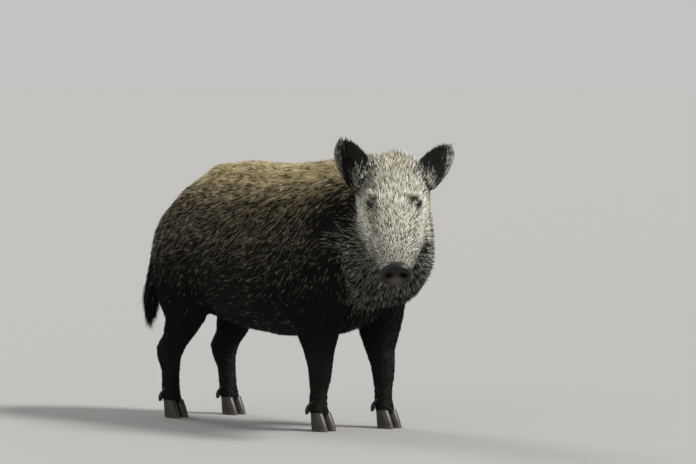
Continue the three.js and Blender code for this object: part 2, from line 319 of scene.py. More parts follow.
def refined(mesh, inside, smoothings):  # splits the edges of the chosen part once
    work = bmesh.new()
    work.from_mesh(mesh)
    chosen = inside(positions(mesh))
    edges = [e for e in work.edges if chosen[e.verts[0].index] and chosen[e.verts[1].index]]
    bmesh.ops.subdivide_edges(work, edges=edges, cuts=1, use_grid_fill=True)
    bmesh.ops.triangulate(work, faces=[f for f in work.faces if len(f.verts) > 3])
    work.verts.ensure_lookup_table()
    work.to_mesh(mesh)
    chosen = inside(positions(mesh))
    for _ in range(smoothings):
        bmesh.ops.smooth_vert(
            work, verts=[v for v in work.verts if chosen[v.index]], factor=0.5,
            use_axis_x=True, use_axis_y=True, use_axis_z=True,
        )
    work.to_mesh(mesh)
    work.free()


def nearTo(reach, *middles):
    return lambda points: np.min([distances(points, middle) for middle in middles], axis=0) < reach


def byMouth(points):
    hx, hy, hz = toHead(points).T
    front, back = mouth["refinedAlong"]
    close = np.abs(mouthLine(hy, hz)) < mouth["refinedHeight"]
    return close & (hy > front) & (hy < back) & (np.abs(hx) < mouth["refinedHalfWidth"])


def onPlate(points):
    away = toHead(points) - discMiddle
    wide, high = nose["refined"]
    return (np.hypot(away[:, 0] / wide, away[:, 2] / high) < 1) & (away[:, 1] < nose["behind"])


# The face is worked finer: each place's edges are split once more, and its points evened out so many times.
finePlaces = [
    (nearTo(0.031, *eyeMiddles.values()), 14),
    (nearTo(0.026, *eyeMiddles.values()), 6),
    (nearTo(0.052, fromHead(discMiddle)), 1),
    (onPlate, 1),
    (byMouth, 1),
]
for inside, smoothings in finePlaces:
    refined(skinMesh, inside, smoothings)
print("skin: face refined", len(skinMesh.polygons))


def spread(mesh, values, rounds):  # evens values out along the surface
    ends = np.empty(len(mesh.edges) * 2, np.int32)
    mesh.edges.foreach_get("vertices", ends)
    a, b = ends.reshape(-1, 2).T
    count = len(values)
    neighbours = (np.bincount(a, minlength=count) + np.bincount(b, minlength=count))[:, None]
    for _ in range(rounds):
        sums = [np.bincount(a, v[b], count) + np.bincount(b, v[a], count) for v in values.T]
        values = (values + np.stack(sums, 1) / neighbours) / 2
    return values


# What grows where is read at each point of the skin.
owner = nearestNode(positions(skinMesh))
onHead = ownerOf(owner, "head", "lower_jaw", "snout_disc")
onEar = ownerOf(owner, "ear_left", "ear_right")
onTail = ownerOf(owner, "tail")
onLeg = ownerOf(owner, *[leg + "_leg" for leg in legNames])
onDisc = ownerOf(owner, "snout_disc")
onNeck = ownerOf(owner, "neck")

lengths = {  # of the hair, in metres
    "mane": 0.036, "back": 0.025, "flank": 0.024, "belly": 0.025,
    "thigh": 0.021, "shank": 0.010, "coronet": 0.015,
    "nose": 0.006, "forehead": 0.017, "nape": 0.024, "cheek": 0.024,
    "ear": 0.009, "tail": 0.018, "tuft": 0.045,
}
growth = {  # from where to where each length comes in: heights, or places along the head or the body
    "flank": (0.3, 0.45), "back": (0.5, 0.7), "maneHeight": (0.66, 0.76), "maneEnd": (0.28, -0.1),
    "shank": (0.36, 0.16), "coronet": (0.080, 0.052), "tuft": (0.42, 0.33),
    "forehead": (0.02, 0.22), "nape": (0.3, 0.4), "cheekHeight": (0.02, -0.06), "cheekAlong": (0.1, 0.26),
}


def hairLength(points):
    _, y, z = points.T
    _, hy, hz = toHead(points).T
    crest = ramp(z, *growth["maneHeight"]) * ramp(y, *growth["maneEnd"])
    body = blend(ramp(z, *growth["flank"]), lengths["belly"], lengths["flank"])
    body = blend(ramp(z, *growth["back"]), body, lengths["back"])
    body = blend(crest, body, lengths["mane"])
    leg = blend(ramp(z, *growth["shank"]), lengths["thigh"], lengths["shank"])
    leg = blend(ramp(z, *growth["coronet"]), leg, lengths["coronet"])
    face = blend(ramp(hy, *growth["forehead"]), lengths["nose"], lengths["forehead"])
    face = blend(ramp(hy, *growth["nape"]), face, lengths["nape"])
    jowl = ramp(hz, *growth["cheekHeight"]) * ramp(hy, *growth["cheekAlong"])
    face = blend(jowl, face, lengths["cheek"])
    tail = blend(ramp(z, *growth["tuft"]), lengths["tail"], lengths["tuft"])
    grown = np.where(onHead, face, body)
    for chosen, length in ((onLeg, leg), (onEar, lengths["ear"]), (onTail, tail)):
        grown = np.where(chosen, length, grown)
    return grown


ears = {
    "length": 0.146, "halfWidth": 0.052,
    "root": 0.15,  # the share of the points that are its root
    "taperPowers": (3.4, 0.7), "leastTaper": 0.05,
    "hollow": (-0.2, 0.3),  # how squarely the hollow's side faces out of it
    "inside": 0.017,  # the hair's length there
    "fringe": 0.014, "fringeFrom": (0.7, 0.95),
}


def earLine(side):  # from an ear's root to its tip
    points = positions(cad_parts["ear_" + side].data)
    height = toHead(points)[:, 2]
    return points[np.argmax(height)] - points[height < np.quantile(height, ears["root"])].mean(0)


def earAxes(side):  # its middle, up its length, across to its outer edge, and out of its hollow
    points = positions(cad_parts["ear_" + side].data)
    upward = unit(earLine(side)[None])[0]
    centred = points - points.mean(0)
    centred -= np.outer(centred @ upward, upward)
    across = np.linalg.eigh(centred.T @ centred)[1][:, 2]
    outer = headAxes[:, 0] * (1 if side == "left" else -1)
    across = across * np.sign(across @ outer)
    hollow = np.cross(upward, across)
    return points.mean(0), upward, across, hollow * -np.sign(hollow @ headAxes[:, 1])


def earPlace(points, outward):  # share of the way up, share across, and how squarely it faces the hollow
    up, over, inside = np.zeros(len(points)), np.zeros(len(points)), np.zeros(len(points))
    power, rounding = ears["taperPowers"]
    for side in ("left", "right"):
        middle, upward, across, hollow = earAxes(side)
        here = ownerOf(owner, "ear_" + side)
        share = np.clip(0.5 + (points - middle) @ upward / ears["length"], 0, 1)
        half = ears["halfWidth"] * np.maximum(1 - share**power, ears["leastTaper"]) ** rounding
        up = np.where(here, share, up)
        over = np.where(here, (points - middle) @ across / half, over)
        inside = np.where(here, ramp(outward @ hollow, *ears["hollow"]), inside)
    return up, over, inside


combing = {  # which way the hair lies, mostly as directions that needn't be of length 1
    "fall": 0.12, "sideFall": 0.75, "side": (0.55, 0.16),
    "shoulderFall": 1.1, "shoulder": (-0.2, 0.16), "shoulderTop": (0.74, 0.6),
    "nape": (0.55, 0.8, -0.1), "napeFall": 1.1,
    "faceFrom": (0, -0.06, 0.0),  # the hair of the face lies away from this place, in the head's axes
    "cheekFall": 0.1, "cheek": (0.02, -0.06),
    "leg": (0, 0.25, -1), "legTop": 0.42, "tail": (0, 0.1, -1),
    "lids": 0.55, "lidsReach": (0.026, 0.015),
    "brow": 0.8, "browAt": (0.050, 0.240, 0.084), "browReach": (0.040, 0.015),
    "hairRounds": 6, "lieRounds": 14,
}


def flow(points):  # which way the hair lies
    _, y, z = points.T
    ones = np.ones(len(points))
    shoulder = bump(y, *combing["shoulder"]) * ramp(z, *combing["shoulderTop"])
    down = combing["fall"] + combing["sideFall"] * bump(z, *combing["side"])
    down = down + combing["shoulderFall"] * shoulder
    body = np.stack([0 * ones, ones, -down], 1)
    across, back, up = combing["nape"]
    fall = up - combing["napeFall"] * ramp(z, *combing["shoulderTop"])
    nape = np.stack([across * ones, back * ones, fall], 1)
    face = toHead(points) - combing["faceFrom"]
    face[:, 2] -= combing["cheekFall"] * ramp(face[:, 2], *combing["cheek"])
    face = unit(face) @ headAxes.T
    lie = np.where(onHead[:, None], face, body)
    lie = np.where(onNeck[:, None], unit(nape), unit(lie))
    lie = np.where((onLeg & (z < combing["legTop"]))[:, None], unit(np.array([combing["leg"]])), lie)
    lie = np.where(onTail[:, None], combing["tail"], lie)
    for side in ("left", "right"):
        lie = np.where(ownerOf(owner, "ear_" + side)[:, None], unit(earLine(side)[None]), lie)
    return lie


lidHair = {  # short around the lids, and over more of the inner corner
    "shortest": 0.0045, "longest": 0.022,
    "clear": (0.008, 0.026), "inner": (0.002, -0.008), "above": (0.011, 0.004),
}
skinPoints = positions(skinMesh)
hair = hairLength(skinPoints)
earUp, earOver, earInside = earPlace(skinPoints, normals(skinMesh))
earHair = blend(earInside, lengths["ear"], ears["inside"])
earHair = blend(ramp(np.abs(earOver), *ears["fringeFrom"]), earHair, ears["fringe"])
hair = spread(skinMesh, np.where(onEar, earHair, hair)[:, None], combing["hairRounds"])[:, 0]
lie = spread(skinMesh, flow(skinPoints), combing["lieRounds"])
for side, mirror in (("left", 1), ("right", -1)):
    reach, beyond, _, alongSlit, overSlit = overEye(skinPoints, side)
    inner = ramp(alongSlit, *lidHair["inner"]) * ramp(overSlit, *lidHair["above"])
    clear = blend(inner, *lidHair["clear"])
    short = blend(ramp(beyond / clear, 0, 1), lidHair["shortest"], lidHair["longest"])
    hair = np.where(beyond < clear, np.minimum(hair, short), hair)
    away = unit(skinPoints - eyeMiddles[side])
    lie = lie + away * (combing["lids"] * ramp(reach, *combing["lidsReach"]))[:, None]
    brow = fromHead(np.array(combing["browAt"]) * (mirror, 1, 1))
    uphill = ramp(distances(skinPoints, brow), *combing["browReach"])
    lie = lie + headAxes[:, 2] * (combing["brow"] * uphill)[:, None]

# The skin lies inside the flesh by the coat's depth.
depths = {
    "share": 0.3,  # how high the tips stand over the skin, as a share of the hair's length
    "under": 0.001,
    "ear": 0.0012, "tailAndFoot": 0.003, "footTop": 0.1, "disc": 0.0002,
    "eyes": 0.001, "eyesReach": (0.05, 0.02),
    "rounds": 3,
}
nearEye = np.zeros(len(skinPoints))
for middle in eyeMiddles.values():
    nearEye = np.maximum(nearEye, ramp(distances(skinPoints, middle), *depths["eyesReach"]))
depth = hair * depths["share"] + depths["under"]
depth = np.where(onEar, depths["ear"], depth)
depth = np.where(onTail | (onLeg & (skinPoints[:, 2] < depths["footTop"])), depths["tailAndFoot"], depth)
depth = np.where(onDisc, depths["disc"], depth)
depth = blend(nearEye, depth, depths["eyes"])
depth = spread(skinMesh, depth[:, None], depths["rounds"])[:, 0]
movePoints(skinMesh, skinPoints - normals(skinMesh) * depth[:, None])

lids = {  # heights over the ball, and where they come beyond the opening's edge
    "sink": 0.004, "edge": (-0.0008, 0.0002),
    "rim": 0.0006, "rimAt": (0.0008, 0.0009),
    "upperFold": 0.0013, "upperFoldAt": (0.0042, 0.0011),
    "lowerFold": 0.0008, "lowerFoldAt": (0.0040, 0.0011),
    "ends": (0.003, 0.009), "facing": (0.0, 0.3),
    "bare": (0.0035, 0.001), "corner": (0.0035, 0.0012), "cornerReach": 0.02,
}


def sculptEyes(points):
    for side, middle in eyeMiddles.items():
        reach, beyond, facing, _, y = overEye(points, side)
        ball = eyes["radius"]
        target = blend(ramp(beyond, *lids["edge"]), ball - lids["sink"], ball + eyes["lid"])
        target += lids["rim"] * bump(beyond, *lids["rimAt"])
        target -= lids["upperFold"] * bump(beyond, *lids["upperFoldAt"]) * (y > 0)
        target -= lids["lowerFold"] * bump(beyond, *lids["lowerFoldAt"]) * (y <= 0)
        weight = (1 - ramp(beyond, *lids["ends"])) * ramp(facing, *lids["facing"])
        points = points + (points - middle) * (weight * (target / reach - 1))[:, None]
    return points


def sculptNose(points):
    hx, hy, hz = toHead(points).T
    up = hz - discMiddle[2]
    edge = np.sqrt((hx / nose["halfWidth"]) ** 2 + (up / nose["halfHeight"]) ** 2)
    slant = math.radians(nose["nostrilSlant"])
    across, high = np.abs(hx) - nose["nostril"][0], up - nose["nostril"][1]
    turnedX = across * math.cos(slant) - high * math.sin(slant)
    turnedZ = across * math.sin(slant) + high * math.cos(slant)
    pit = np.sqrt((turnedX / nose["nostrilHalf"][0]) ** 2 + (turnedZ / nose["nostrilHalf"][1]) ** 2)
    front = nose["plate"] + nose["dish"] * (1 - edge**2)
    front += nose["nostrilDepth"] * ramp(pit, *nose["nostrilWall"])
    front -= nose["nostrilRim"] * bump(pit, *nose["nostrilRimAt"])
    front += nose["groove"] * bump(hx, 0, nose["grooveWidth"]) * ramp(up, *nose["grooveTop"])
    front -= nose["underLip"] * bump(up, *nose["underLipAt"]) * bump(hx, 0, nose["underLipWidth"])
    weight = ramp(edge, *nose["edge"]) * (hy < nose["behind"]) * onDisc
    moved = np.stack([hx, blend(weight, hy, front), hz], 1)
    moved[:, 1] -= nose["rim"] * bump(edge, *nose["rimAt"]) * onDisc * ramp(up, *nose["rimFrom"])
    return fromHead(moved)


def sculptMouth(points, outward):
    _, hy, hz = toHead(points).T
    below = mouthLine(hy, hz)
    cornerStart, cornerEnd = (mouth["corner"] + fade for fade in mouth["cornerFade"])
    along = ramp(hy, cornerStart, cornerEnd) * ramp(hy, *mouth["frontFade"]) * onHead * ~onDisc
    inwards = mouth["depth"] * bump(below, 0, mouth["width"])
    inwards -= mouth["upperLip"] * bump(below, *mouth["upperLipAt"])
    inwards -= mouth["lowerLip"] * bump(below, *mouth["lowerLipAt"])
    return points - outward * (inwards * along)[:, None]


movePoints(skinMesh, sculptMouth(positions(skinMesh), normals(skinMesh)))
movePoints(skinMesh, sculptEyes(positions(skinMesh)))
movePoints(skinMesh, sculptNose(positions(skinMesh)))
print("skin: face sculpted")

skinPoints = positions(skinMesh)
lidShare = np.zeros(len(skinPoints))
cornerShare = np.zeros(len(skinPoints))
for side in eyeMiddles:
    reach, beyond, facing, x, y = overEye(skinPoints, side)
    lidShare = np.maximum(lidShare, ramp(beyond, *lids["bare"]))
    inCorner = ramp(np.hypot(x + eyes["halfSlit"], y), *lids["corner"])
    cornerShare = np.maximum(cornerShare, inCorner * (facing > 0) * (reach < lids["cornerReach"]))
bareDisc = spread(skinMesh, onDisc.astype(float)[:, None], 2)[:, 0]
fromDisc = toHead(skinPoints) - discMiddle
keep(skinMesh, "lid", lidShare)
keep(skinMesh, "corner", cornerShare)
keep(skinMesh, "disc", bareDisc)
# Painted highlight: a paler patch on the disc's lower middle, where light falls on it.
paintedHighlight = bump(fromDisc[:, 0], 0, nose["paintedHighlightWidth"]) * bump(fromDisc[:, 2], *nose["paintedHighlightAt"])
keep(skinMesh, "paintedHighlight", paintedHighlight * bareDisc)

hide = {
    "dark": ("#0c0a09", "#181512"), "pale": "#3c3931",
    # the paler snout colour below is a painted highlight on the disc's lower middle
    "snout": ("#0c0a0a", "#211e1c"), "paintedHighlight": "#564f49",
    "lid": "#3a2f2a", "corner": "#8a5a50",
    "mottle": 16.667, "grain": 2.0833, "grainDepth": 0.5,  # in millimetres
    "dry": 0.85, "moist": 0.38, "moistFrom": (0.3, 0.8),
}


def hideMaterial():  # pig's hide: dark and dry under the coat, moist and finely pitted on the snout
    material, tree = newMaterial("hide")
    read = {
        name: addNode(tree, "Attribute", {"attribute_name": name}, output="Fac")
        for name in ("lid", "corner", "disc", "paintedHighlight", "pale")
    }
    place = addNode(tree, "TexCoord", output="Object")
    mottle = addNode(
        tree, "TexNoise", inputs={"Vector": place, "Scale": 1000 / hide["mottle"], "Detail": 5.0},
        output="Fac",
    )
    grain = addNode(
        tree, "TexVoronoi", {"feature": "DISTANCE_TO_EDGE"},
        {"Vector": place, "Scale": 1000 / hide["grain"]}, "Distance",
    )
    shades = {}
    # The snout's colour takes the painted highlight over the disc's lower middle.
    for name, over in (("dark", "pale"), ("snout", "paintedHighlight")):
        first, second = (linear(colour) for colour in hide[name])
        mottled = addNode(tree, "Mix", colourMix, {"Factor": mottle, 6: first, 7: second}, 2)
        top = linear(hide[over])
        shades[name] = addNode(tree, "Mix", colourMix, {"Factor": read[over], 6: mottled, 7: top}, 2)
    colour = addNode(
        tree, "Mix", colourMix, {"Factor": read["disc"], 6: shades["dark"], 7: shades["snout"]}, 2,
    )
    for name in ("lid", "corner"):
        top = linear(hide[name])
        colour = addNode(tree, "Mix", colourMix, {"Factor": read[name], 6: colour, 7: top}, 2)
    start, end = hide["moistFrom"]
    moist = addNode(
        tree, "MapRange", smoothStep, {"Value": read["disc"], "From Min": start, "From Max": end},
    )
    roughness = addNode(
        tree, "MapRange", inputs={"Value": moist, "To Min": hide["dry"], "To Max": hide["moist"]},
    )
    relief = addNode(
        tree, "Bump", inputs={"Strength": 0.5, "Distance": hide["grainDepth"] / 1000, "Height": grain},
    )
    shader = addNode(
        tree, "BsdfPrincipled",
        inputs={"Base Color": colour, "Roughness": roughness, "Specular IOR Level": 0.3, "Normal": relief},
    )
    addNode(tree, "OutputMaterial", inputs={"Surface": shader})
    return material


skinMaterial = hideMaterial()
for polygon in skinMesh.polygons:
    polygon.use_smooth = True
skin = newObject("skin", skinMesh, skinMaterial)
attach(skin, "root")
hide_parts(*fleshNames)

# The coat is bristles and woolly locks: small closed spikes, sown over the skin. A real bristle is about 0.3 mm
# across. These are as coarse as it takes for so many to cover the skin.
coat = {
    "bristleSpacing": 0.0023, "bristleWidth": 0.0014,
    "lowSpacing": 0.0027, "lowFrom": (0.42, 0.32),  # on the legs and belly
    "lockSpacing": 0.0100, "lockWidth": 0.0046, "lockLength": 0.8,
    "headSpacing": 0.0018, "headWidth": 0.0012,
    "closer": 0.72, "closerFrom": (0.012, 0.006),  # short hair's spacing on the head, to that of the rest
    "clumpSpacing": (0.48, 0.32),  # as shares of the hair's length, on the body and on the head
    "leastClump": 0.0035,
    "gather": 0.42, "headGather": 0.6, "lockGather": 0.2,  # how far the tips of a clump draw together
    "shortGather": 0.2, "short": (0.03, 0.02),  # where the hair is short
    "wander": 0.30,  # how far a clump strays from the lie, in radians
    "stray": 0.16,  # and each bristle
    "clumpPale": (0.62, 1.26),  # a clump's share of pale bristles, to that of the markings
    "bandFrom": (0.65, 0.40), "headBandFrom": 0.22,  # where along a bristle its pale end is whole
    "lockDark": 0.45,  # the lower, the fewer woolly locks are pale
    "clumpTone": 0.45,  # how much of a bristle's tone it shares with its clump
    "patch": 0.003,  # how wide a tuft is in the bake's unwrap
}
pattern = {  # shares of bristles with a pale end (warm: how ochre it is), and where each comes in
    "flank": (0.03, 0.27), "flankFrom": (0.38, 0.60), "shoulder": 0.55, "shoulderAt": (-0.26, 0.15),
    "back": 0.94, "backFrom": (0.61, 0.70), "warm": (0.55, 0.95), "warmFrom": (0.45, 0.72),
    "neck": (0.02, 0.72), "neckFrom": (0.63, 0.71),
    "face": (0.64, 0.81), "faceFrom": (0.05, 0.24), "faceSide": (-0.05, 0.04),
    "cheek": (0.44, 0.64), "cheekFrom": (0.08, 0.20), "jowl": (1, 0.40), "jowlFrom": (-0.03, -0.09),
    # under and jaw darken the downward-facing surfaces and the lower jaw: a dark throat marking, with painted
    # shade under the head.
    "under": 0.94, "underFrom": (-0.2, -0.65), "jaw": 0.9,
    "maskEnd": (0.26, 0.35), "behind": (0.02, 0.85), "behindFrom": (0.64, 0.75),
    "crown": 0.18, "crownAt": (0.012, 0.335, 0.13), "crownReach": (0.042, 0.012),
    "headWarm": 0.14, "crownWarm": 0.35,
    "leg": (0.3, 0.5), "tail": 0.04,
    "ear": 0.12, "earWarm": 0.1,
    "inEar": 0.36, "inEarFrom": (0.34, 0.62), "earEdge": 0.2, "earEdgeFrom": (0.84, 0.97),
    "earTuft": 0.42, "earTuftUp": (0.55, 0.15), "earTuftOver": (0.1, -0.4),
    "rounds": 8,
}
# Painted shade on each side of the face: a streak down the nose bridge, the sides of the muzzle, and the socket
# round the eye, where the fur is darker too.
paintedShadePlaces = {  # on each side of the face: middle in the head's axes, size each way, fade, how much darker
    # a darker ring of fur round the eye, with painted shade in the socket
    "eye": ((0.062, 0.222, 0.060), (1, 1, 1), (0.026, 0.015), 0.25),
    # painted shade: a dark streak down the side of the nose bridge
    "bridgeShade": ((0.052, 0.170, 0), (0.013, 0.062, np.inf), (1, 0.3), 0.3),
    # painted shade over the side of the muzzle
    "muzzle": ((0, 0.1, -0.02), (np.inf, 0.09, 0.035), (1, 0.3), 0.2),
}


def markings(points, outward):  # how many bristles have a pale band, and how warm it is
    _, y, z = points.T
    hx, hy, hz = toHead(points).T
    pale = blend(ramp(z, *pattern["flankFrom"]), *pattern["flank"])
    pale *= 1 - pattern["shoulder"] * bump(y, *pattern["shoulderAt"])
    pale = blend(ramp(z, *pattern["backFrom"]), pale, pattern["back"])
    warm = blend(ramp(z, *pattern["warmFrom"]), *pattern["warm"])
    pale = np.where(onNeck, blend(ramp(z, *pattern["neckFrom"]), *pattern["neck"]), pale)
    top = blend(ramp(hy, *pattern["faceFrom"]), *pattern["face"])
    cheek = blend(ramp(hy, *pattern["cheekFrom"]), *pattern["cheek"])
    cheek = cheek * blend(ramp(hz, *pattern["jowlFrom"]), *pattern["jowl"])
    # Surfaces that face down are darker: the dark throat marking, with painted shade under the head.
    under = ramp(outward @ headAxes[:, 2], *pattern["underFrom"])
    face = blend(ramp(hz, *pattern["faceSide"]), cheek, top) * (1 - pattern["under"] * under)
    behind = blend(ramp(z, *pattern["behindFrom"]), *pattern["behind"])
    face *= blend(ramp(hy, *pattern["maskEnd"]), 1, behind)
    # The lower jaw is darker: its own dark hair, with painted shade under the muzzle.
    face *= 1 - pattern["jaw"] * ownerOf(owner, "lower_jaw")
    # The face is darkened at these places: painted shade, with the eye's ring of darker fur.
    for side in (-1, 1):
        for middle, size, reach, darker in paintedShadePlaces.values():
            away = (np.stack([hx, hy, hz], 1) - np.array(middle) * (side, 1, 1)) / size
            face = face * (1 - darker * ramp(np.linalg.norm(away, axis=1), *reach))
    crown = ramp(distances(np.stack([hx, hy, hz], 1), pattern["crownAt"]), *pattern["crownReach"])
    pale = np.where(onHead, face * (1 - pattern["crown"] * crown), pale)
    warm = np.where(onHead, pattern["headWarm"] + pattern["crownWarm"] * crown, warm)
    pale = np.where(onLeg, pale * ramp(z, *pattern["leg"]), pale)
    tuft = pattern["earTuft"] * ramp(earUp, *pattern["earTuftUp"]) * ramp(earOver, *pattern["earTuftOver"])
    inEar = pattern["inEar"] * ramp(earOver, *pattern["inEarFrom"])
    inEar = inEar + pattern["earEdge"] * ramp(earOver, *pattern["earEdgeFrom"]) + tuft
    pale = np.where(onEar, blend(earInside, pattern["ear"], inEar), pale)
    warm = np.where(onEar, pattern["earWarm"], warm)
    pale = np.where(onTail, pattern["tail"], pale)
    return np.stack([pale, warm], 1)


# The markings carry the face's painted shade into the colour of the skin and of the bristles.
marks = spread(skinMesh, markings(skinPoints, normals(skinMesh)), pattern["rounds"])
keep(skinMesh, "pale", marks[:, 0])

skinMesh.calc_loop_triangles()
corners = np.empty(len(skinMesh.loop_triangles) * 3, np.int32)
skinMesh.loop_triangles.foreach_get("vertices", corners)
corners = corners.reshape(-1, 3)
skinNormals = normals(skinMesh)
a, b, c = skinPoints[corners].transpose(1, 0, 2)
areas = np.linalg.norm(np.cross(b - a, c - a), axis=1) / 2
headShare = spread(skinMesh, (onHead | onEar).astype(float)[:, None], 3)[:, 0]
bareShare = spread(skinMesh, onDisc.astype(float)[:, None], 1)[:, 0]

# Nothing grows on the disc, on the lids' edges and between the lips.
furred = 1 - ramp(bareShare, 0.2, 0.6)
for side in eyeMiddles:
    furred *= ramp(overEye(skinPoints, side)[1], eyes["bareRim"], eyes["bareRim"] + 0.001)
_, headY, headZ = toHead(skinPoints).T
inMouth = bump(mouthLine(headY, headZ), 0, mouth["bareWidth"]) * (headY < mouth["corner"]) * onHead
furred *= 1 - ramp(inMouth, 0.3, 0.7)
perVertex = {
    "point": skinPoints, "normal": skinNormals, "lie": lie, "hair": hair[:, None],
    "marks": marks, "head": headShare[:, None],
}


def products(a, b):  # the dot product of each pair of rows
    return (a * b).sum(1)


def sow(density):  # roots spread evenly, so many to the square metre at each point of the skin
    expected = np.cumsum(areas * density[corners].mean(1))
    marksAt = np.arange(draws.random(), expected[-1], 1.0)
    triangles = np.searchsorted(expected, marksAt)
    u, v = draws.random((2, len(triangles)))
    flip = u + v > 1
    u, v = np.where(flip, 1 - u, u), np.where(flip, 1 - v, v)
    shares = np.stack([1 - u - v, u, v], 1)[:, :, None]
    root = {name: (values[corners[triangles]] * shares).sum(1) for name, values in perVertex.items()}
    root["owner"] = owner[corners[triangles, 0]]
    root["normal"] = unit(root["normal"])
    root["lie"] = unit(root["lie"] - root["normal"] * products(root["lie"], root["normal"])[:, None])
    return root


def wandering(points):  # slow swirls in the lie, with smaller ones in them
    swirls = []
    for point in points.tolist():
        small = noise.noise(Vector(point) * 28.0 + Vector((7, 3, 1)))
        swirls.append(noise.noise(Vector(point) * 9.0) + 0.6 * small)
    return np.array(swirls)


clumpSpacing = np.maximum(hair * blend(headShare, *coat["clumpSpacing"]), coat["leastClump"])
clumps = sow(furred / clumpSpacing**2)
clumpTree = KDTree(len(clumps["point"]))
for number, point in enumerate(clumps["point"].tolist()):
    clumpTree.insert(point, number)
clumpTree.balance()
clumpTurn = wandering(clumps["point"])
clumpTurn = coat["wander"] * (clumpTurn + 0.5 * draws.normal(size=len(clumpTurn)))
clumpTone = draws.random(len(clumpTurn))
clumpPale = draws.random(len(clumpTurn))

strandShape = {
    "lengths": (0.7, 1.15), "lifts": (0.5, 1.15), "widths": (0.7, 1.3),
    "rooted": 0.0008,  # how far its base is under the skin
    "middle": 0.42, "middleLift": 0.75, "middleGather": 0.3,
    "tip": 0.92,
    "headCalm": 0.5,  # how much less a clump strays on the head
    "thickness": 0.45, "lockMiddle": 0.62,  # as shares of the width at its base
}


def turned(lie, normal, angle):
    return lie * np.cos(angle)[:, None] + np.cross(normal, lie) * np.sin(angle)[:, None]


def strands(root, lengthShare, gather):  # each strand's base, middle and tip
    count = len(root["point"])
    clump = np.array([clumpTree.find(point)[1] for point in root["point"].tolist()])
    calm = 1 - strandShape["headCalm"] * root["head"][:, 0]
    angle = clumpTurn[clump] * calm + coat["stray"] * draws.normal(size=count)
    along = turned(root["lie"], root["normal"], angle)
    length = (root["hair"][:, 0] * lengthShare * draws.uniform(*strandShape["lengths"], count))[:, None]
    lift = (depths["share"] * draws.uniform(*strandShape["lifts"], count))[:, None]
    start = root["point"] - root["normal"] * strandShape["rooted"]
    rise = root["normal"] * lift
    middle = start + (along * strandShape["middle"] + rise * strandShape["middleLift"]) * length
    tip = start + (along * strandShape["tip"] + rise) * length
    centre = clumps["point"][clump] + turned(clumps["lie"], clumps["normal"], clumpTurn)[clump] * length
    aside = centre - tip
    aside -= along * products(aside, along)[:, None]
    aside -= root["normal"] * products(aside, root["normal"])[:, None]
    tip += aside * gather
    middle += aside * gather * strandShape["middleGather"]
    return start, middle, tip, along, clump


# A bristle is a base triangle and a tip, and a woolly lock has a middle triangle too. Both are closed.
# Each lays its corners in its own small patch of the bake's unwrap.
bristleShape = {
    "faces": np.array([(0, 1, 2), (1, 0, 3), (2, 1, 3), (0, 2, 3)]),
    "along": np.array([0, 0, 0, 1]),
    "patch": np.array([(-1, -1), (1, -1), (0, -0.4), (0, 1)]),
}
lockShape = {
    "faces": np.array([
        (0, 1, 2), (1, 0, 3), (1, 3, 4), (2, 1, 4), (2, 4, 5), (0, 2, 5), (0, 5, 3),
        (4, 3, 6), (5, 4, 6), (3, 5, 6),
    ]),
    "along": np.array([0, 0, 0, 0.45, 0.45, 0.45, 1]),
    "patch": np.array([(-1, -1), (1, -1), (0, -0.8), (-0.7, 0), (0.7, 0), (0, 0.2), (0, 1)]),
}
looks = ("pick", "tone", "pale", "warm", "bandFrom")


def spikes(shape, start, middle, tip, side, normal, width):
    width = width[:, None]
    ring = [side * width / 2, -side * width / 2, normal * width * strandShape["thickness"]]
    points = [start + offset for offset in ring]
    if shape is lockShape:
        points += [middle + offset * strandShape["lockMiddle"] for offset in ring]
    return np.stack(points + [tip], 1)


unwrap = {"share": 0.05, "angle": 66, "margin": 0.003}  # the share of the triangles that stay, and degrees


def unwrappedSkin():  # a light copy of the skin, laid out flat for the bake
    flat = newObject("flat", skinMesh.copy(), None)
    flat.modifiers.new("light", "DECIMATE").ratio = unwrap["share"]
    flat.data = evaluated(flat)
    flat.modifiers.clear()
    bpy.context.view_layer.objects.active = flat
    flat.select_set(True)
    bpy.ops.object.mode_set(mode="EDIT")
    bpy.ops.mesh.select_all(action="SELECT")
    bpy.ops.uv.smart_project(angle_limit=math.radians(unwrap["angle"]), island_margin=unwrap["margin"])
    bpy.ops.object.mode_set(mode="OBJECT")
    mesh = flat.data
    layout = np.empty(len(mesh.loops) * 2)
    mesh.uv_layers.active.data.foreach_get("uv", layout)
    mesh.calc_loop_triangles()
    triangles = [tuple(t.vertices) for t in mesh.loop_triangles]
    loops = np.array([tuple(t.loops) for t in mesh.loop_triangles])
    points = positions(mesh)
    surface = BVHTree.FromPolygons(points.tolist(), triangles)
    bpy.data.objects.remove(flat)
    return surface, points[np.array(triangles)], layout.reshape(-1, 2)[loops]


flatSurface, flatPoints, flatLayout = unwrappedSkin()
print("coat: skin unwrapped", len(flatPoints))


def bakePlaces(points):  # where each point lies in the unwrap
    found = [flatSurface.find_nearest(point) for point in points.tolist()]
    faces = np.array([hit[2] for hit in found])
    nearest = np.array([tuple(hit[0]) for hit in found])
    a, b, c = flatPoints[faces].transpose(1, 0, 2)
    across, up, out = b - a, c - a, nearest - a
    wide, tall, slant = products(across, across), products(up, up), products(across, up)
    area = np.maximum(wide * tall - slant**2, 1e-18)
    v = (tall * products(out, across) - slant * products(out, up)) / area
    w = (wide * products(out, up) - slant * products(out, across)) / area
    shares = np.stack([1 - v - w, v, w], 1)[:, :, None]
    return (flatLayout[faces] * shares).sum(1)


parting = {"rump": 0.2, "top": 0.64, "withers": 0.05, "belly": 0.34}  # places along the body, and heights


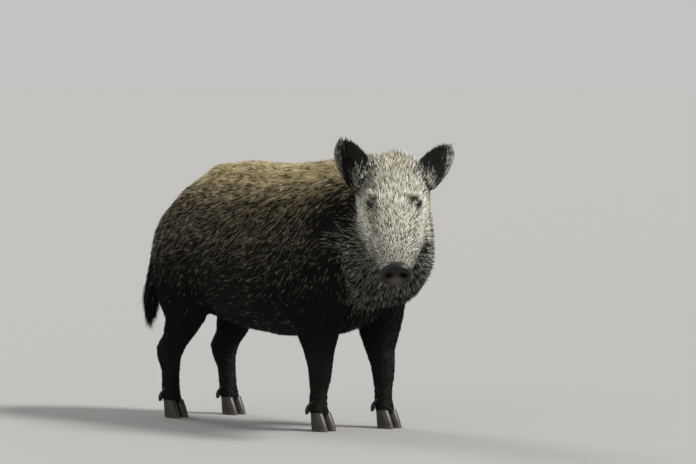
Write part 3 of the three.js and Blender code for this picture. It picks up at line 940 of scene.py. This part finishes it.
def pieceOf(root):  # the coat is split so that no piece is too heavy
    x, y, z = root["point"].T
    headSide = np.where(toHead(root["point"])[:, 0] > 0, "left", "right")
    side = np.where(x > 0, "left", "right")
    names = np.char.add("flank_coat_", side).astype("U24")
    names = np.where(y > parting["rump"], np.char.add("rump_coat_", side), names)
    onTop = np.where(y > parting["withers"], "back_coat", "withers_coat")
    names = np.where(z > parting["top"], onTop, names)
    names = np.where(z < parting["belly"], "belly_coat", names)
    names = np.where(ownerOf(root["owner"], "neck"), "neck_coat", names)
    onFace = ownerOf(root["owner"], "head", "lower_jaw", "snout_disc")
    names = np.where(onFace, np.char.add("face_coat_", headSide), names)
    for place in ("left", "right"):
        names = np.where(ownerOf(root["owner"], "ear_" + place), "ear_coat_" + place, names)
    names = np.where(ownerOf(root["owner"], "tail"), "tail_coat", names)
    for leg in legNames:
        names = np.where(ownerOf(root["owner"], leg + "_leg"), leg + "_leg_coat", names)
    return names


def sownTufts(shape, root, lengthShare, width, gather):
    start, middle, tip, along, clump = strands(root, lengthShare, gather)
    count = len(start)
    side = np.cross(root["normal"], along)
    width = width * draws.uniform(*strandShape["widths"], count)
    tone = draws.random(count)
    pick = draws.random(count) ** (coat["lockDark"] if shape is lockShape else 1)
    pale, warm = root["marks"].T
    bodyBand = blend(pale, *coat["bandFrom"])
    return {
        "shape": shape, "points": spikes(shape, start, middle, tip, side, root["normal"], width),
        "piece": pieceOf(root), "bake": bakePlaces(start),
        "pick": pick, "tone": blend(coat["clumpTone"], tone, clumpTone[clump]),
        "pale": pale * blend(clumpPale[clump], *coat["clumpPale"]), "warm": warm,
        "bandFrom": blend(root["head"][:, 0], bodyBand, coat["headBandFrom"]),
    }


def coatPiece(name, batches, material):
    points, faces, bake, along = [], [], [], []
    values = {look: [] for look in looks}
    count = 0
    for tufts in batches:
        chosen = np.flatnonzero(tufts["piece"] == name)
        shape = tufts["shape"]
        each = len(shape["along"])
        first = count + np.arange(len(chosen)) * each
        count += len(chosen) * each
        points.append(tufts["points"][chosen].reshape(-1, 3))
        faces.append((shape["faces"] + first[:, None, None]).reshape(-1, 3))
        bake.append((tufts["bake"][chosen][:, None] + shape["patch"] * coat["patch"] / 2).reshape(-1, 2))
        along.append(np.tile(shape["along"], len(chosen)))
        for look in looks:
            values[look].append(np.repeat(tufts[look][chosen], each))
    points, faces, bake = np.concatenate(points), np.concatenate(faces), np.concatenate(bake)
    mesh = bpy.data.meshes.new(name)
    mesh.vertices.add(len(points))
    mesh.vertices.foreach_set("co", points.astype(np.float32).ravel())
    mesh.loops.add(faces.size)
    mesh.loops.foreach_set("vertex_index", faces.astype(np.int32).ravel())
    mesh.polygons.add(len(faces))
    mesh.polygons.foreach_set("loop_start", np.arange(0, faces.size, 3, dtype=np.int32))
    mesh.polygons.foreach_set("use_smooth", np.ones(len(faces), bool))
    mesh.uv_layers.new(name="OFBake").data.foreach_set("uv", bake[faces.ravel()].astype(np.float32).ravel())
    mesh.update(calc_edges=True)
    keep(mesh, "along", np.concatenate(along))
    for look in looks:
        keep(mesh, look, np.concatenate(values[look]))
    piece = newObject(name, mesh, material)
    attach(piece, "root")
    print("coat:", name, len(faces), "triangles")
    return len(faces)


bristle = {
    "silver": ("#a5a596", "#fdfdf0"), "ochre": ("#9c8754", "#fbe9b6"), "black": ("#070605", "#1a1713"),
    "root": "#0b0a08",
    "roughness": 0.66, "gloss": 0.2,
}


def bristleMaterial():  # boar's bristle, which is keratin: matt and nearly black, with a pale end on some
    material, tree = newMaterial("boar_bristle")
    read = {
        name: addNode(tree, "Attribute", {"attribute_name": name}, output="Fac")
        for name in ("along",) + looks
    }
    isPale = addNode(tree, "Math", {"operation": "LESS_THAN"}, {0: read["pick"], 1: read["pale"]})
    shades = {}
    for name in ("silver", "ochre", "black"):
        first, second = (linear(colour) for colour in bristle[name])
        shades[name] = addNode(tree, "Mix", colourMix, {"Factor": read["tone"], 6: first, 7: second}, 2)
    band = addNode(
        tree, "Mix", colourMix, {"Factor": read["warm"], 6: shades["silver"], 7: shades["ochre"]}, 2,
    )
    end = addNode(tree, "Mix", colourMix, {"Factor": isPale, 6: shades["black"], 7: band}, 2)
    rise = addNode(
        tree, "MapRange", smoothStep,
        {"Value": read["along"], "From Min": 0.0, "From Max": read["bandFrom"]},
    )
    colour = addNode(tree, "Mix", colourMix, {"Factor": rise, 6: linear(bristle["root"]), 7: end}, 2)
    shader = addNode(
        tree, "BsdfPrincipled", inputs={
            "Base Color": colour, "Roughness": bristle["roughness"], "Specular IOR Level": bristle["gloss"],
        },
    )
    addNode(tree, "OutputMaterial", inputs={"Surface": shader})
    return material


coatMaterial = bristleMaterial()
low = ramp(skinPoints[:, 2], *coat["lowFrom"]) * (1 - headShare)
bodySpacing = blend(low, coat["bristleSpacing"], coat["lowSpacing"])
shortHere = np.maximum(ramp(hair, *coat["closerFrom"]), nearEye)
headSpacing = coat["headSpacing"] * blend(shortHere, 1, coat["closer"])
bristles = sow(furred / blend(headShare, bodySpacing, headSpacing) ** 2)
locks = sow(furred / coat["lockSpacing"] ** 2 * (1 - headShare))
bristleWidth = blend(bristles["head"][:, 0], coat["bristleWidth"], coat["headWidth"])
bodyGather = blend(ramp(bristles["hair"], *coat["short"]), coat["gather"], coat["shortGather"])
bristleGather = blend(bristles["head"], bodyGather, coat["headGather"])
lockWidth = np.full(len(locks["point"]), coat["lockWidth"])
batches = [
    sownTufts(bristleShape, bristles, 1.0, bristleWidth, bristleGather),
    sownTufts(lockShape, locks, coat["lockLength"], lockWidth, coat["lockGather"]),
]
pieceNames = sorted(set(batches[0]["piece"]) | set(batches[1]["piece"]))
coatTriangles = sum(coatPiece(name, batches, coatMaterial) for name in pieceNames)
print("coat: in all", coatTriangles, "triangles")

eyeLooks = {
    "cornea": 0.0068,  # half the width of the clear bulge, over the ball
    "bulge": 0.0009, "bulgeTop": 0.0015,
    "iris": 0.0062, "irisEdge": (-0.0005, 0.0007), "irisColours": ("#0c0603", "#26150a"),
    "pupil": 0.0026, "pupilEdge": (-0.0004, 0.0004), "pupilColour": "#060505",
    "white": "#1d120c",
    "fibre": 1.4286,  # in millimetres
    "segments": (40, 28),
}


def eyeMaterial():  # an eyeball: a dark brown iris under a wet, clear front
    material, tree = newMaterial("wet_eye")
    fromAxis = addNode(tree, "Attribute", {"attribute_name": "fromAxis"}, output="Fac")
    place = addNode(tree, "TexCoord", output="Object")
    fibres = addNode(
        tree, "TexNoise", inputs={"Vector": place, "Scale": 1000 / eyeLooks["fibre"], "Detail": 3.0},
        output="Fac",
    )
    first, second = (linear(colour) for colour in eyeLooks["irisColours"])
    iris = addNode(tree, "Mix", colourMix, {"Factor": fibres, 6: first, 7: second}, 2)
    colour = linear(eyeLooks["pupilColour"])
    for name, outside in (("pupil", iris), ("iris", linear(eyeLooks["white"]))):
        start, end = (eyeLooks[name] + edge for edge in eyeLooks[name + "Edge"])
        past = addNode(
            tree, "MapRange", smoothStep, {"Value": fromAxis, "From Min": start, "From Max": end},
        )
        colour = addNode(tree, "Mix", colourMix, {"Factor": past, 6: colour, 7: outside}, 2)
    shader = addNode(
        tree, "BsdfPrincipled", inputs={"Base Color": colour, "Roughness": 0.07, "IOR": 1.38},
    )
    addNode(tree, "OutputMaterial", inputs={"Surface": shader})
    return material


def makeEye(side, material):
    ball = bmesh.new()
    segments, rings = eyeLooks["segments"]
    bmesh.ops.create_uvsphere(ball, u_segments=segments, v_segments=rings, radius=eyes["radius"])
    for vertex in ball.verts:
        arc = eyes["radius"] * vertex.co.angle(Vector((0, 0, 1)))
        bulge = eyeLooks["bulge"] * ramp(arc, eyeLooks["cornea"], eyeLooks["bulgeTop"])
        vertex.co += vertex.co.normalized() * float(bulge)
    across, up, out = eyeAxes(side)
    turn = Matrix(np.stack([np.cross(up, out), up, out], 1).tolist()).to_4x4()
    bmesh.ops.transform(ball, matrix=Matrix.Translation(eyeMiddles[side]) @ turn, verts=ball.verts)
    mesh = bpy.data.meshes.new("eyeball_" + side)
    ball.to_mesh(mesh)
    ball.free()
    mesh.polygons.foreach_set("use_smooth", np.ones(len(mesh.polygons), bool))
    away = unit(positions(mesh) - eyeMiddles[side])
    keep(mesh, "fromAxis", eyes["radius"] * np.arccos(np.clip(away @ out, -1, 1)))
    eye = newObject("eyeball_" + side, mesh, material)
    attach(eye, "root")
    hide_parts("eye_" + side)


wetEye = eyeMaterial()
for side in ("left", "right"):
    makeEye(side, wetEye)
print("eyes made")

# Lashes, brow hairs and whiskers are single long dark hairs.
lashes = {"count": 34, "along": (-0.85, 0.95), "length": 0.0105, "width": 0.0006, "overLid": 0.0006}
whiskers = {  # the middle of each patch in the head's axes (x on the left), its half size, and its hairs
    "lip": {"at": (0.034, 0.040, -0.028), "half": (0.010, 0.030, 0.014), "count": 15, "length": 0.042},
    "chin": {"at": (0.010, 0.050, -0.082), "half": (0.014, 0.030, 0.010), "count": 12, "length": 0.036},
    "cheek": {"at": (0.084, 0.190, -0.050), "half": (0.012, 0.028, 0.020), "count": 6, "length": 0.050},
    "brow": {"at": (0.056, 0.252, 0.094), "half": (0.014, 0.014, 0.004), "count": 9, "length": 0.040},
}
whiskerLooks = {"width": 0.0009, "back": 0.6, "droop": -0.12, "pale": 0.15, "warm": 0.1, "bandFrom": 0.8}
skinSurface = BVHTree.FromPolygons(skinPoints.tolist(), corners.tolist())


def lashesOf(side):  # along the upper lid, sweeping out and a little down
    across, up, out = eyeAxes(side)
    power, rounding = eyes["slitPowers"]
    share = np.linspace(*lashes["along"], lashes["count"])
    x = share * eyes["halfSlit"]
    y = eyes["upperOpening"] * (1 - np.abs(share) ** power) ** rounding + lashes["overLid"]
    turn, rise = x / eyes["radius"], y / eyes["radius"]
    away = np.outer(np.sin(turn), across) + np.outer(np.cos(turn) * np.cos(rise), out)
    away = unit(away + np.outer(np.cos(turn) * np.sin(rise), up))
    start = eyeMiddles[side] + away * (eyes["radius"] + eyes["lid"] * 0.7)
    along = unit(away + np.outer(0.75 * share, across) + up * 0.25 + 0.12 * draws.normal(size=away.shape))
    length = lashes["length"] * draws.uniform(0.7, 1.1, len(start))[:, None]
    return start, start + (along + up * 0.08) * length * 0.5, start + (along - up * 0.12) * length, along


def whiskersOf(patch, side):  # from the skin nearest to points strewn in the patch, back and drooping
    mirror = np.array([side, 1, 1])
    strewn = np.array(patch["at"]) + np.array(patch["half"]) * draws.uniform(-1, 1, (patch["count"], 3))
    hits = [skinSurface.find_nearest(point) for point in fromHead(strewn * mirror).tolist()]
    start = np.array([tuple(hit[0]) for hit in hits])
    outward = np.array([tuple(hit[1]) for hit in hits])
    along = unit(outward + whiskerLooks["back"] * headAxes[:, 1] + 0.3 * draws.normal(size=start.shape))
    length = patch["length"] * draws.uniform(0.6, 1.1, len(start))[:, None]
    droop = np.array([0, 0, whiskerLooks["droop"]])
    return start - outward * 0.0005, start + along * length * 0.5, start + (along + droop) * length, along


def longHairs(rows, width):
    start, middle, tip, along = (np.concatenate(parts) for parts in zip(*rows))
    count = len(start)
    side = unit(np.cross(along, np.array([0.3, 0.2, 0.9])))  # any way that no whisker runs
    hairs = {
        "shape": lockShape, "piece": np.full(count, "whiskers"), "bake": bakePlaces(start),
        "points": spikes(lockShape, start, middle, tip, side, np.cross(along, side), np.full(count, width)),
        "pick": draws.random(count), "tone": draws.random(count),
    }
    return hairs | {look: np.full(count, whiskerLooks[look]) for look in ("pale", "warm", "bandFrom")}


patches = [(patch, side) for patch in whiskers.values() for side in (1, -1)]
coatPiece("whiskers", [
    longHairs([lashesOf(side) for side in eyeMiddles], lashes["width"]),
    longHairs([whiskersOf(patch, side) for patch, side in patches], whiskerLooks["width"]),
], coatMaterial)

hoof = {
    "edge": 0.0022, "edgeSegments": 3,
    "sharp": 0.9,  # in radians: edges where the faces turn by more are bevelled
    "intoFoot": (0, 0, 0.007), "intoLeg": (0, -0.013, 0),  # how far the upper end goes into the flesh
    "dewclawLevels": 2,
    "horn": ("#15110e", "#3a322a"), "scuffed": "#4a4036", "scuffedFrom": (0.012, 0.0),
    "grime": 11.111, "ring": 3.2, "ringDepth": 0.4,  # in millimetres
    "waveStep": 314,  # how far apart a wave texture's bands lie at a scale of 1, in millimetres
}


def hornMaterial():  # hoof horn: dark and waxy, with growth rings and a scuffed, paler lower edge
    material, tree = newMaterial("hoof_horn")
    place = addNode(tree, "TexCoord", output="Object")
    height = addNode(tree, "SeparateXYZ", inputs={"Vector": place}, output="Z")
    ringScale = hoof["waveStep"] / hoof["ring"]
    rings = addNode(
        tree, "TexWave", {"wave_type": "BANDS", "bands_direction": "Z"},
        {"Vector": place, "Scale": ringScale, "Distortion": 5.0, "Detail": 3.0, "Detail Scale": 2.0}, "Fac",
    )
    grime = addNode(
        tree, "TexNoise", inputs={"Vector": place, "Scale": 1000 / hoof["grime"], "Detail": 4.0},
        output="Fac",
    )
    first, second = (linear(colour) for colour in hoof["horn"])
    dark = addNode(tree, "Mix", colourMix, {"Factor": grime, 6: first, 7: second}, 2)
    start, end = hoof["scuffedFrom"]
    low = addNode(tree, "MapRange", smoothStep, {"Value": height, "From Min": start, "From Max": end})
    colour = addNode(tree, "Mix", colourMix, {"Factor": low, 6: dark, 7: linear(hoof["scuffed"])}, 2)
    relief = addNode(
        tree, "Bump", inputs={"Strength": 0.14, "Distance": hoof["ringDepth"] / 1000, "Height": rings},
    )
    shader = addNode(
        tree, "BsdfPrincipled", inputs={"Base Color": colour, "Roughness": 0.48, "Normal": relief},
    )
    addNode(tree, "OutputMaterial", inputs={"Surface": shader})
    return material


def makeHoof(name, material):
    isDewclaw = "dewclaw" in name
    work = bmesh.new()
    work.from_mesh(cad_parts[name].data)
    bmesh.ops.remove_doubles(work, verts=work.verts, dist=flesh["merge"])
    heights = [vertex.co.z for vertex in work.verts]
    middle = (min(heights) + max(heights)) / 2
    shift = Vector(hoof["intoLeg"] if isDewclaw else hoof["intoFoot"])
    for vertex in work.verts:
        vertex.co += shift * float(ramp(vertex.co.z, middle, max(heights)))
    if not isDewclaw:
        sharp = [e for e in work.edges if len(e.link_faces) == 2 and e.calc_face_angle() > hoof["sharp"]]
        bmesh.ops.bevel(
            work, geom=sharp, offset=hoof["edge"], segments=hoof["edgeSegments"], profile=0.5,
            affect="EDGES", material=-1,
        )
    mesh = bpy.data.meshes.new(name + "_horn")
    work.to_mesh(mesh)
    work.free()
    mesh.polygons.foreach_set("use_smooth", np.ones(len(mesh.polygons), bool))
    piece = newObject(name + "_horn", mesh, material)
    if isDewclaw:
        rounded = piece.modifiers.new("rounded", "SUBSURF")
        rounded.levels = rounded.render_levels = hoof["dewclawLevels"]
    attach(piece, "root")
    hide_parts(name)


hoofHorn = hornMaterial()
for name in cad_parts:
    if name.endswith("claw"):
        makeHoof(name, hoofHorn)
print("hooves made")

studio = {
    "azimuth": -47, "elevation": 3, "distance": 12,
    "aimFromEyes": (0.2425, 0.3966, -0.0998),
    "frameWidth": 1.9488,  # what the frame takes in at the aim, in metres
    "sensor": 36,
    "floor": "#8d8c8a", "floorSize": 120,
    "sky": "#f4f4f2", "skyStrength": 0.6,
    "lightsAim": (0, 0, 0.4),
}
lights = {  # each stands for a soft box: the side it shines from, its strength and its size in degrees
    "key": ((1.4, -3.0, 3.6), 4.6, 14),
    "fill": ((-4.0, -0.6, 2.2), 0.3, 40),
    "rim": ((0.6, 3.6, 3.4), 1.2, 20),
}


def makeCamera():
    azimuth, elevation = math.radians(studio["azimuth"]), math.radians(studio["elevation"])
    level = math.cos(elevation)
    away = Vector((math.sin(azimuth) * level, -math.cos(azimuth) * level, math.sin(elevation)))
    data = bpy.data.cameras.new("camera")
    data.sensor_width = studio["sensor"]
    data.lens = studio["sensor"] * studio["distance"] / studio["frameWidth"]
    data.clip_end = 5 * studio["distance"]
    camera = bpy.data.objects.new("camera", data)
    aim = Vector(sum(eyeMiddles.values()) / 2) + Vector(studio["aimFromEyes"])
    camera.location = aim + away * studio["distance"]
    camera.rotation_euler = away.to_track_quat("Z", "Y").to_euler()
    bpy.context.scene.collection.objects.link(camera)
    bpy.context.scene.camera = camera


def makeFloor():
    mesh = bpy.data.meshes.new("floor")
    plane = bmesh.new()
    bmesh.ops.create_grid(plane, x_segments=1, y_segments=1, size=studio["floorSize"])
    plane.to_mesh(mesh)
    plane.free()
    material, tree = newMaterial("pale_floor")
    shader = addNode(
        tree, "BsdfPrincipled", inputs={"Base Color": linear(studio["floor"]), "Roughness": 0.9},
    )
    addNode(tree, "OutputMaterial", inputs={"Surface": shader})
    newObject("floor", mesh, material)


def makeLight(name, place, power, size):
    data = bpy.data.lights.new(name, "SUN")
    data.energy = power
    data.angle = math.radians(size)
    light = bpy.data.objects.new(name, data)
    light.location = place
    light.rotation_euler = (Vector(place) - Vector(studio["lightsAim"])).to_track_quat("Z", "Y").to_euler()
    bpy.context.scene.collection.objects.link(light)


makeCamera()
makeFloor()
for name, (place, power, size) in lights.items():
    makeLight(name, place, power, size)
world = bpy.data.worlds.new("world")
world.use_nodes = True
background = world.node_tree.nodes["Background"]
background.inputs["Color"].default_value = linear(studio["sky"])
background.inputs["Strength"].default_value = studio["skyStrength"]
bpy.context.scene.world = world
bpy.context.scene.view_settings.view_transform = "Standard"
print("studio made")
